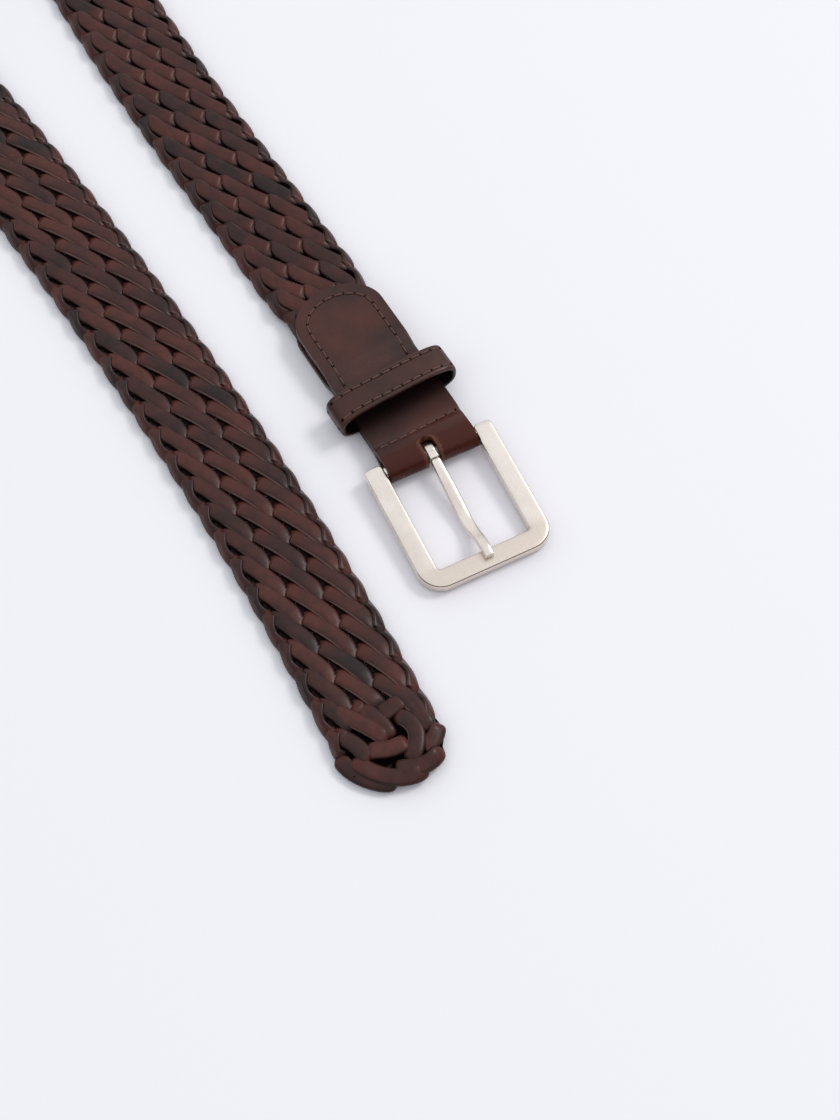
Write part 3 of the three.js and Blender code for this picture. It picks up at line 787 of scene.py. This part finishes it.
def stitches(starts, ends, up):
    """One row's threads: thin tubes from hole to hole, on a low arch of a sine's power."""
    share = THREAD_SHARES[None, :, None]
    arch = THREAD_RISE * np.sin(math.pi * share) ** 0.6 - THREAD_SUNK
    middle = blend(starts[:, None, :], ends[:, None, :], share) + up[:, None, :] * arch
    sideways = np.cross(unit(ends - starts), up)
    ring = ring_round(sideways, up, THREAD_SIDES)[:, None] * THREAD / 2
    grids = middle[:, :, None, :] + ring * THREAD_TAPER[None, :, None, None]
    return [closed_tube(grid) for grid in grids]


def punched_holes(here, up, way):
    """One row's holes: low discs of painted shade that show just above the leather."""
    ring = ring_round(way * HOLE_STRETCH, np.cross(way, up), HOLE_SIDES) * HOLE / 2
    grids = np.stack([here[:, None, :] + ring * wide + up[:, None, :] * high
                      for wide, high in HOLE_LAYERS], axis=1)
    return [closed_tube(grid) for grid in grids]


def on_upper_face(row):
    """World points of a row of places along and to the left on the tab's upper face, and the
    face's upward directions there, square to a small step each way."""
    line_along, line_up = tab_line()
    upper = slice(0, len(line_along) // 2)

    def face_at(along, left):
        height = np.interp(-along, -line_along[upper], line_up[upper])
        return place(along, left, height + TAB_LEATHER / 2)

    along, left = row.T
    here = face_at(along, left)
    up = np.cross(face_at(along, left + 0.1) - here, face_at(along + 0.1, left) - here)
    return here, unit(up * np.sign(up[:, 2:3]))


def end_row():
    """The row round the rounded end: down one side, round an ellipse inset from the edge,
    and back up the other side until the keeper hides it."""
    side = TAB_WIDTH / 2 - STITCH_INSET
    angle = np.radians(np.linspace(0, 180, 60))
    rounded = TAB_STRAIGHT_TO + (TAB_ROUNDING - STITCH_INSET) * np.sin(angle)
    along = np.concatenate([[SIDE_ROWS_FROM], rounded, [SIDE_ROWS_FROM]])
    left = np.concatenate([[side], side * np.cos(angle), [-side]])
    return spaced(np.stack([along, left], axis=-1), STITCH_STEP)


def cross_row():
    """The row across the strap behind the bar."""
    reach = TAB_WIDTH / 2 - CROSS_INSET
    left = np.linspace(reach, -reach, CROSS_STITCHES + 1)
    return np.stack([CROSS_ROW_AT - CROSS_ROW_SLANT * left, left], axis=-1)


def waxed_thread():
    """Waxed thread: twisted, dark brown, slightly shiny."""
    shader = Shader("waxed_thread")
    twist = shader.noise(shader.place(), 3000.0, 2.0, 0.6)
    colour = shader.mix(shader.between(twist, 0.35, 0.65), rgb(54, 29, 24), rgb(112, 72, 60))
    relief = shader.bump(twist, 0.00006, 0.5)
    return shader.finish({"Base Color": colour, "Roughness": 0.55, "Normal": relief})


def painted_hole_shade():
    """Painted shade: the dark inside of a punched hole, on a disc."""
    shader = Shader("punched_hole")
    fibres = shader.noise(shader.place(), 2500.0, 2.0, 0.6)
    colour = shader.mix(fibres, rgb(8, 3, 3), rgb(24, 12, 10))
    return shader.finish({"Base Color": colour, "Roughness": 0.9, "Specular IOR Level": 0.1})


thread_material = waxed_thread()
hole_material = painted_hole_shade()


def sew(name, rows, node, closed=False):
    """Threads and holes for several rows as two pieces. A row is its holes' places and the
    surface's upward directions there; a closed one goes on from its last hole to its first."""
    threads = []
    holes = []
    for here, up in rows:
        after = np.roll(here, -1, axis=0)
        if closed:
            threads += stitches(here, after, up)
            holes += punched_holes(here, up, unit(after - np.roll(here, 1, axis=0)))
        else:
            threads += stitches(here[:-1], after[:-1], up[:-1])
            holes += punched_holes(here, up, unit(np.gradient(here, axis=0)))
    for kind, made, material in (("thread", threads, thread_material), ("holes", holes, hole_material)):
        piece = mesh_piece(name + "_" + kind, *joined(made))
        welded(piece)
        piece.data.materials.append(material)
        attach(piece, "strap")
        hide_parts(node)


sew("tab", [on_upper_face(end_row()), on_upper_face(cross_row())], "strap_tab")


# The keeper: a band of the same leather closed to a loop, which stands round the tab and
# would hold the free end of the strap. Two rows of stitches run round it near its edges.

KEEPER_FROM = 20.1
KEEPER_WIDTH = 10.4
KEEPER_WALL = 2.0
KEEPER_SIDE_ROOM = 4.0
KEEPER_HEIGHT = 13.2
KEEPER_STITCH_INSET = 1.7
KEEPER_STITCHES = 26
KEEPER_LOOP = (0.42, 0.62)  # powers of its loop's outline, sideways and up
KEEPER_RINGS = 120
KEEPER_SECTION = (20, 0.28, 0.4)  # its pillow: points, powers across and out


def keeper_loop(angle):
    """The middle of the band's wall seen along the strap, as left and height from its
    centre: a rounded rectangle, as powers of cosine and sine."""
    half_width = TAB_WIDTH / 2 + KEEPER_SIDE_ROOM + KEEPER_WALL / 2
    half_height = (KEEPER_HEIGHT - KEEPER_WALL) / 2
    return np.stack([half_width * squared(np.cos(angle), KEEPER_LOOP[0]),
                     half_height * squared(np.sin(angle), KEEPER_LOOP[1])], axis=-1)


def keeper_place(along, angle, out):
    """World point of the keeper: along the strap from its near edge, round its loop, and
    out from the middle of its wall."""
    middle = keeper_loop(angle)
    way = unit(keeper_loop(angle + 0.0001) - middle)
    left = middle[..., 0] + out * way[..., 1]
    height = middle[..., 1] - out * way[..., 0] + KEEPER_HEIGHT / 2
    return place(KEEPER_FROM + along, left, height - centre_height(KEEPER_FROM + KEEPER_WIDTH / 2))


def even_angles(count):
    """Angles round the loop whose points are equally far apart."""
    fine = (np.arange(4000) + 0.5) / 4000 * 2 * math.pi
    legs = np.linalg.norm(np.diff(keeper_loop(fine), axis=0), axis=1)
    reached = np.concatenate([[0], np.cumsum(legs)])
    return np.interp(np.linspace(0, reached[-1], count, endpoint=False), reached, fine)


def keeper_band():
    """The band's section, a flat pillow, carried round the loop."""
    across, out = pillow(*KEEPER_SECTION)
    along, angle = np.meshgrid(KEEPER_WIDTH / 2 * (1 + across), even_angles(KEEPER_RINGS))
    outward = np.broadcast_to(out, along.shape)
    points = keeper_place(along, angle, KEEPER_WALL / 2 * outward)
    faces = tube_faces(KEEPER_RINGS + 1, len(out)) % points[..., 0].size
    return points, faces, {"outward": outward}


def keeper_shades(shader):
    """Painted shade inside the loop, dark and matte."""
    return shader.between(shader.number("outward"), 0.2, -0.6) * 0.95, 0.0, 0.0


def keeper_rows():
    """Two rows round the outside of the band."""
    angles = even_angles(KEEPER_STITCHES)
    for inset in (KEEPER_STITCH_INSET, KEEPER_WIDTH - KEEPER_STITCH_INSET):
        here = keeper_place(inset, angles, KEEPER_WALL / 2)
        yield here, unit(here - keeper_place(inset, angles, 0.0))


keeper = mesh_piece("keeper_band", *keeper_band())
welded(keeper)
keeper.data.materials.append(smooth_leather("keeper_leather", (70, 35, 27), keeper_shades))
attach(keeper, "strap")
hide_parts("keeper")

sew("keeper", keeper_rows(), "keeper", closed=True)


# The buckle: a cast and brushed frame with rounded edges, whose arms end round beside the
# bar, and the bar across them, on which it swings.

FRAME_LENGTH = 47.0
ARM_WIDTH = 6.5
FRAME_THICKNESS = 4.0
ARM_ROOM = 0.4
BAR_RADIUS = 1.8
BAR_INSET = 2.5
BAR_SUNK = 2.0  # how far the bar goes into each arm
BAR_RINGS = 12
BAR_SIDES = 24
OUTER_CORNER = 8.0
INNER_CORNER = 1.2
FRAME_BEVEL = 0.7
FRAME_SECTION = (28, 0.22, 0.3)  # its pillow: points, powers across and up
ARM_END_ROUND = 1.6  # length over which an arm rounds off at its end
ARM_END_FLAT = 0.5  # share of its width that ends square
ARM_END_THIN = 0.45  # share of the rounding by which the end gets thinner too
STRAIGHT_RINGS = 40  # sections of each straight stretch and of each corner
CORNER_RINGS = 16
RINGS_CROWD = 1.6  # power that crowds the sections at an arm's end
FRAME_REACH = FRAME_LENGTH - BAR_INSET
FAR_BAR_AT = FRAME_REACH - ARM_WIDTH  # its near side, from the bar
INNER_HALF = TAB_WIDTH / 2 + ARM_ROOM
OUTER_HALF = INNER_HALF + ARM_WIDTH
FRAME_TILT = math.asin((BAR_HEIGHT - FRAME_THICKNESS / 2) / (FRAME_REACH - FRAME_BEVEL))


def lay_on_bar(forward, aside, up):
    """World millimetres from a place measured from the bar: turned down by the frame's
    tilt, and set at the bar's height."""
    x = forward * math.cos(FRAME_TILT) + up * math.sin(FRAME_TILT)
    z = -forward * math.sin(FRAME_TILT) + up * math.cos(FRAME_TILT)
    placed = np.broadcast_arrays(x + bar_place[0], aside + bar_place[1], z + BAR_HEIGHT)
    return np.stack(placed, axis=-1)


def frame_rim(half, reach, corner):
    """One outline of the frame, from the end of its left arm round the far bar to the end
    of its right arm: straight, a quarter round, straight, a quarter round, straight."""
    turn = np.linspace(0, math.pi / 2, CORNER_RINGS + 1)[1:-1]
    share = np.linspace(0, 1, STRAIGHT_RINGS)
    arm = blend(-BAR_INSET, reach - corner, share ** RINGS_CROWD)
    beside = np.full(STRAIGHT_RINGS, half)
    forward = [arm, reach - corner + corner * np.sin(turn), np.full(STRAIGHT_RINGS, reach),
               reach - corner + corner * np.cos(turn), arm[::-1]]
    aside = [beside, half - corner + corner * np.cos(turn), (half - corner) * (1 - 2 * share),
             corner - half - corner * np.sin(turn), -beside]
    return np.stack([np.concatenate(forward), np.concatenate(aside)], axis=-1)


def frame_shell():
    """Between the inner and the outer outline, a flat section with rounded edges. At each
    arm's end the section narrows by a circle, so that the end is round. Its shades say
    where the far bar is, for its painted shade, and where its top steps down to its outer
    side, for a painted dark reflection."""
    inner = frame_rim(INNER_HALF, FAR_BAR_AT, INNER_CORNER)
    outer = frame_rim(OUTER_HALF, FRAME_REACH, OUTER_CORNER)
    middle = (inner + outer) / 2
    end = np.clip(1 - (middle[:, 0] + BAR_INSET) / ARM_END_ROUND, 0, 1)
    narrowed = blend(np.sqrt(np.maximum(0.0004, 1 - end ** 2)), 1, ARM_END_FLAT)[:, None]
    across, up = pillow(*FRAME_SECTION)
    plan = middle[:, None, :] + across[None, :, None] / 2 * (outer - inner)[:, None, :] * narrowed[..., None]
    high = FRAME_THICKNESS / 2 * up[None, :] * blend(1, narrowed, ARM_END_THIN)
    far = smooth(FAR_BAR_AT - 4, FAR_BAR_AT + 1, middle[:, :1])
    turn = (np.arange(len(up)) + 0.5) / len(up) * 2 * math.pi
    step = np.broadcast_to(bell(turn - math.pi / 4, 0.16), high.shape)
    return closed_tube(lay_on_bar(plan[..., 0], plan[..., 1], high),
                       {"far": np.broadcast_to(far, high.shape), "step": far * step})


def round_bar():
    """The bar: a cylinder between the arms."""
    aside = np.linspace(-INNER_HALF - BAR_SUNK, INNER_HALF + BAR_SUNK, BAR_RINGS)[:, None]
    angle = (np.arange(BAR_SIDES) / BAR_SIDES * 2 * math.pi)[None, :]
    grid = lay_on_bar(BAR_RADIUS * np.cos(angle), aside, BAR_RADIUS * np.sin(angle))
    plain = np.zeros(grid.shape[:2])
    return closed_tube(grid, {"far": plain, "step": plain})


def satin_metal(name, light, dark, roughness):
    """Plated and brushed: fine scratches along the object, a cloudy tarnish, and a soft
    polish. Painted shade makes the far bar darker, for the dimmer reflection it shows, and a
    painted dark reflection draws a line where its top steps down."""
    shader = Shader(name)
    at = shader.place()
    drawn = shader.node("ShaderNodeMapping", None, {"Vector": at, "Scale": (120.0, 2600.0, 2600.0)})
    scratches = shader.noise(drawn, 1.0, 3.0, 0.6)
    cloudy = shader.noise(at, 130.0, 3.0, 0.55)
    colour = shader.mix(shader.between(cloudy, 0.35, 0.7), rgb(*light), rgb(*dark))
    # Painted shade: the far bar darker, for the dimmer reflection it shows.
    colour = shader.mix(shader.number("far") * 0.75, colour, rgb(220, 206, 194))
    # Painted reflection: a dark line where the far bar's top steps down.
    colour = shader.mix(shader.between(shader.number("step"), 0.25, 0.7), colour, rgb(70, 62, 56))
    rough = roughness + cloudy * 0.10 + shader.between(scratches, 0.4, 0.7, 0.0, 0.06)
    relief = shader.bump(scratches, 0.00002, 0.35)
    relief = shader.bump(cloudy, 0.00012, 0.15, relief)
    return shader.finish({"Base Color": colour, "Metallic": 1.0, "Roughness": rough, "Normal": relief})


buckle = mesh_piece("buckle", *joined([frame_shell(), round_bar()]))
welded(buckle)
buckle.data.materials.append(satin_metal("satin_nickel", (240, 231, 223), (226, 216, 206), 0.2))
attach(buckle, "frame")
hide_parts("buckle_frame")


# The prong: a flat rod bent round the bar at its root, where its end closes against its own
# top, and dipping on its way to the far bar, over which it ends cut off square.

PRONG_THICKNESS = 2.3
PRONG_WIDTHS = [3.3, 4.1, 4.0, 3.2]  # at the seam, at two places of the dip, on the far bar
ROOT_WIDTH = 3.2
ROOT_THICKNESS = 1.24
BAR_PLAY = 0.25
RING_WALL = 1.25
RING_RADIUS = BAR_RADIUS + BAR_PLAY + RING_WALL
RING_RINGS = 60
RING_SEAM = 38  # degrees from straight ahead up to the seam
PRONG_OVERLAP = 3.4
PRONG_DIP = 3.1
DIP_AT = (0.4, 0.7)  # shares of the way to the far bar, and of the dip that it has there
DIP_SHARES = (0.48, 0.9)
FIT_GAP = 0.3
SEAM_AT = 3.2  # ahead of the bar
ROOT_FROM = 0.6
ROOT_RINGS = 12
ROD_SECTION = (20, 0.5, 0.6)  # its pillow: points, powers across and up


def carried_rod(line, thick, wide):
    """A rounded flat section carried along a line seen from the side."""
    way = unit(np.gradient(line, axis=0))
    across, up = pillow(*ROD_SECTION)
    high = up[None, :] / 2 * thick
    forward = line[:, 0:1] - way[:, 1:2] * high
    height = line[:, 1:2] + way[:, 0:1] * high
    return closed_tube(lay_on_bar(forward, across[None, :] / 2 * np.reshape(wide, (-1, 1)), height))


def tongue():
    """From the seam out over the far bar: its top is a smooth curve through a few places,
    and its middle lies half its thickness under that."""
    rest_top = FRAME_THICKNESS / 2 + FIT_GAP + PRONG_THICKNESS
    dipping = [(FAR_BAR_AT * share, RING_RADIUS - PRONG_DIP * dip) for share, dip in zip(DIP_AT, DIP_SHARES)]
    knots = [(0.0, RING_RADIUS), *dipping, (FAR_BAR_AT * 0.95, rest_top - 0.3),
             (FAR_BAR_AT + PRONG_OVERLAP - 0.1, rest_top - 0.1)]
    top = curve_through(knots, 90)
    top = top[top[:, 0] > SEAM_AT]
    way = unit(np.gradient(top, axis=0))
    middle = top + np.stack([way[:, 1], -way[:, 0]], axis=-1) * PRONG_THICKNESS / 2
    stations = [SEAM_AT, *(FAR_BAR_AT * share for share in DIP_AT), FAR_BAR_AT + 3]
    return carried_rod(middle, PRONG_THICKNESS, np.interp(middle[:, 0], stations, PRONG_WIDTHS))


def ring():
    """The ring round the bar, from its seam round to its seam."""
    turn = np.radians(np.linspace(RING_SEAM, RING_SEAM + 359, RING_RINGS))
    line = np.stack([np.cos(turn), np.sin(turn)], axis=-1) * (RING_RADIUS - RING_WALL / 2)
    return carried_rod(line, RING_WALL, ROOT_WIDTH)


def root():
    """The flat stretch on top of the ring, up to the seam."""
    forward = np.linspace(ROOT_FROM, SEAM_AT - 0.12, ROOT_RINGS)
    line = np.stack([forward, np.full(ROOT_RINGS, RING_RADIUS - ROOT_THICKNESS / 2)], axis=-1)
    return carried_rod(line, ROOT_THICKNESS, ROOT_WIDTH)


prong = mesh_piece("prong_rod", *joined([tongue(), ring(), root()]))
welded(prong)
prong.data.materials.append(satin_metal("polished_nickel", (240, 231, 222), (222, 212, 202), 0.16))
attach(prong, "pin")
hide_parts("prong")


# The floor, the light and the camera: a pale sheet, one wide soft light from the side of
# the buckle's right arm, a room that is pale overhead and dimmer towards its horizon, and a
# view down at the two ends.

FLOOR_HALF = 30000  # half its side
FLOOR_AT = -0.6  # its height, just under the strips
ROOM_LIGHT = 0.93
ROOM_RISE = (0.1, 0.55)  # sine of the elevation between which the room turns from dim to pale
ROOM_LEAN = 0.25  # by which that lies higher towards +x
ROOM_LOW = (0.2, 0.197, 0.2, 1)
ROOM_HIGH = (0.96, 0.975, 1.0, 1)
LAMP_ENERGY = 31
LAMP_SIZE = 1.1
LAMP_COLOUR = (1.0, 0.975, 0.94)
LAMP_PLACE = (-0.1, 2.2, 2.5)
LAMP_TURN = (-41, 0, 0)  # degrees
CAMERA_PLACE = (0.42268, -0.08531, 0.51840)
CAMERA_TURN = (26.116, -0.737, 63.513)  # degrees
CAMERA_LENS = 59.19

floor_corners = np.array([(-1, -1), (1, -1), (1, 1), (-1, 1)]) * FLOOR_HALF
floor = mesh_piece("floor", np.column_stack([floor_corners, np.full(4, FLOOR_AT)]), [(0, 1, 2, 3)], {})
floor_paint = Shader("pale_floor")
floor.data.materials.append(floor_paint.finish({"Base Color": rgb(242, 241, 247), "Roughness": 0.75}))


class Room(Shader):
    """The world's nodes, by the same means as a material's."""

    def __init__(self, name):
        bpy.context.scene.world = bpy.data.worlds.new(name)
        self.take(bpy.context.scene.world)

    def finish(self, sockets):
        light = self.node("ShaderNodeBackground", None, sockets)
        self.node("ShaderNodeOutputWorld", None, {"Surface": light})


room = Room("pale_room")
direction = room.node("ShaderNodeTexCoord", output="Generated")
upward = room.node("ShaderNodeSeparateXYZ", None, {"Vector": direction}, output="Z")
towards_x = room.node("ShaderNodeSeparateXYZ", None, {"Vector": direction}, output="X")
pale = room.between(upward - towards_x * ROOM_LEAN, *ROOM_RISE)
room.finish({"Color": room.mix(pale, ROOM_LOW, ROOM_HIGH), "Strength": ROOM_LIGHT})


def stand(data, where, turned):
    """Puts the lamp or the camera in its place, turned by degrees about x, y and z."""
    made = bpy.data.objects.new(data.name, data)
    made.location = where
    made.rotation_euler = np.radians(turned)
    bpy.context.scene.collection.objects.link(made)
    return made


light = bpy.data.lights.new("soft_light", "AREA")
light.shape = "DISK"
light.size = LAMP_SIZE
light.energy = LAMP_ENERGY
light.color = LAMP_COLOUR
stand(light, LAMP_PLACE, LAMP_TURN)
bpy.context.scene.view_settings.view_transform = "Standard"

camera_data = bpy.data.cameras.new("camera")
camera_data.lens = CAMERA_LENS
camera_data.clip_start = 0.01
bpy.context.scene.camera = stand(camera_data, CAMERA_PLACE, CAMERA_TURN)
